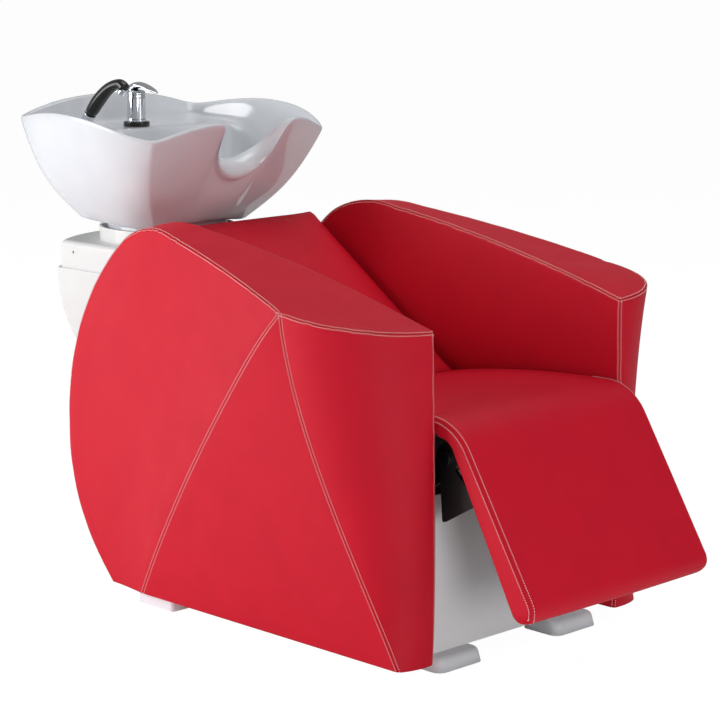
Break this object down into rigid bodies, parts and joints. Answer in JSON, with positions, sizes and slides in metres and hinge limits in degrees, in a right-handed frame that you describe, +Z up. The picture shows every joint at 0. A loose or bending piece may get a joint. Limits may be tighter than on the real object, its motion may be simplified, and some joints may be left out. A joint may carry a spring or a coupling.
{
  "type": "backwash unit",
  "caption": "Salon shampoo armchair with a powered legrest, joined to a pedestal that carries a tilting ceramic basin with neck rest, single-lever mixer and hand shower.",
  "frame": {"origin": "floor level, under the middle of the whole unit", "axes": "+Z up, +Y from the legrest towards the basin, +X to the sitter's left"},
  "size_m": [0.883, 1.4464, 1.0035],
  "materials": {
    "red_leatherette": "fine grained, satin",
    "glazed_ceramic": "glossy",
    "white_shell": "glossy",
    "white_laminate": "satin",
    "grey_foot": "satin",
    "black_steel": "powder coated",
    "zinc_steel": "zinc plated",
    "aluminium": "satin",
    "plywood": "raw",
    "chrome": "polished",
    "black_plastic": "satin",
    "white_plastic": "moulded",
    "rubber": "matt",
    "brass": "plain",
    "copper": "drawn tube"
  },
  "bodies": {
    "chair": {"left_arm_upholstery": "red_leatherette", "right_arm_upholstery": "red_leatherette", "seat_cushion": "red_leatherette", "back_cushion": "red_leatherette", "arm_boards": "plywood", "seat_board": "plywood", "back_board": "plywood", "left_front_foot": "grey_foot", "right_front_foot": "grey_foot", "left_rear_foot": "grey_foot", "right_rear_foot": "grey_foot", "base_frame": "black_steel", "seat_frame": "black_steel", "hinge_brackets": "black_steel", "column": "black_steel", "tilt_yoke": "black_steel", "actuator_mount": "black_steel", "shell_brackets": "zinc_steel", "arm_bolts": "zinc_steel", "foot_screws": "zinc_steel", "cover_screws": "chrome", "tilt_pins": "zinc_steel", "actuator_tube": "aluminium", "actuator_gearbox": "black_plastic", "actuator_motor": "black_plastic", "hinge_bushes": "brass", "tilt_washers": "white_plastic", "front_panel": "white_laminate", "rear_access_panel": "white_laminate", "pedestal_shell": "white_shell", "pedestal_cover": "white_shell", "collar": "white_shell"},
    "legrest": {"legrest_pad": "red_leatherette", "legrest_board": "plywood", "legrest_screws": "zinc_steel", "left_legrest_carrier": "black_steel", "right_legrest_carrier": "black_steel", "hinge_shaft": "zinc_steel", "drive_lever": "black_steel"},
    "actuator": {"actuator_rod": "zinc_steel", "drive_pin": "zinc_steel"},
    "basin": {"basin": "glazed_ceramic", "cradle": "black_steel", "cradle_pad": "rubber", "cradle_studs": "zinc_steel", "drain_flange": "chrome", "drain_gasket": "rubber", "drain_nut": "brass", "waste_trap": "white_plastic", "mixer_ring": "black_plastic", "mixer_body": "chrome", "deck_nuts": "brass", "supply_tails": "copper", "shower_holder": "chrome"},
    "mixer_cap": {"mixer_cap": "chrome"},
    "mixer_lever": {"mixer_lever": "chrome"},
    "hand_shower": {"shower_nut": "chrome", "shower_grip": "black_plastic", "shower_nozzle": "chrome"},
    "strainer": {"strainer": "chrome"}
  },
  "joints": [
    {"name": "legrest_tilt", "type": "hinge", "parent": "chair", "child": "legrest", "pos_m": [0, -0.49615, 0.402], "axis": [-1, 0, 0], "range_deg": [-26, 44]},
    {"name": "actuator_extend", "type": "slide", "parent": "chair", "child": "actuator", "axis": [0, -1, 0], "range_m": [-0.0377, 0.0637]},
    {"name": "basin_tilt", "type": "hinge", "parent": "chair", "child": "basin", "pos_m": [0, 0.49587, 0.672], "axis": [1, 0, 0], "range_deg": [-6, 6]},
    {"name": "mixer_swivel", "type": "hinge", "parent": "basin", "child": "mixer_cap", "pos_m": [0, 0.61787, 0.965], "axis": [0, 0, 1], "range_deg": [-45, 45]},
    {"name": "mixer_lift", "type": "hinge", "parent": "mixer_cap", "child": "mixer_lever", "pos_m": [0, 0.62987, 0.9793], "axis": [-1, 0, 0], "range_deg": [0, 20]},
    {"name": "shower_pull", "type": "slide", "parent": "basin", "child": "hand_shower", "axis": [0, -0.6428, 0.766], "range_m": [0, 0.15]},
    {"name": "strainer_lift", "type": "slide", "parent": "basin", "child": "strainer", "axis": [0, 0, 1], "range_m": [0, 0.06]}
  ],
  "couplings": [
    {"joint": "actuator_extend", "follows": "legrest_tilt", "m_per_rad": 0.082875}
  ]
}
